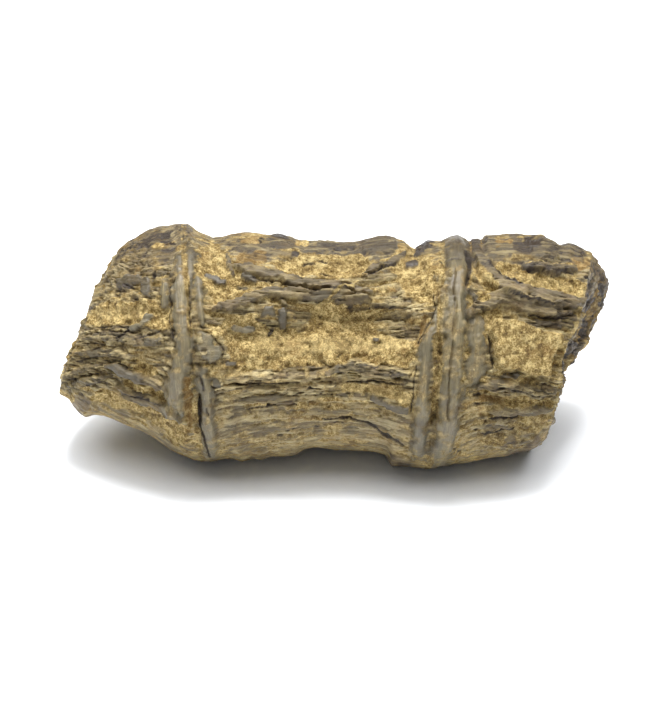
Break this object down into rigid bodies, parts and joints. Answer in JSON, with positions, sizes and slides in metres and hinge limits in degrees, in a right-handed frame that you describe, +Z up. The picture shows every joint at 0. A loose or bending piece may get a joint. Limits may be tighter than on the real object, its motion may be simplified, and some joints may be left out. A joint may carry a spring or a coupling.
{
  "type": "fossil fish vertebra",
  "caption": "Fossil fish backbone section: a whole spool-shaped vertebra between broken ones, with raised rims and struts and golden sand set hard in the hollows.",
  "frame": {"origin": "centre of the bounding box in X and Y, on the surface that the piece rests on", "axes": "+X along the backbone towards the blunt broken end, +Y to the back of the piece as it lies, +Z up"},
  "size_m": [0.1016, 0.0464, 0.0418],
  "materials": {
    "left_fossil_stone": "rough matte stone: golden sand with grey-brown bone, slightly satin on the bone",
    "middle_fossil_stone": "rough matte stone: golden sand with grey-brown bone, slightly satin on the bone",
    "right_fossil_stone": "rough matte stone: grey-brown bone and dark broken strut ends with golden sand, slightly satin on the bone"
  },
  "bodies": {
    "root": {"left_vertebra": "left_fossil_stone", "middle_vertebra": "middle_fossil_stone", "right_vertebra": "right_fossil_stone"}
  },
  "joints": []
}
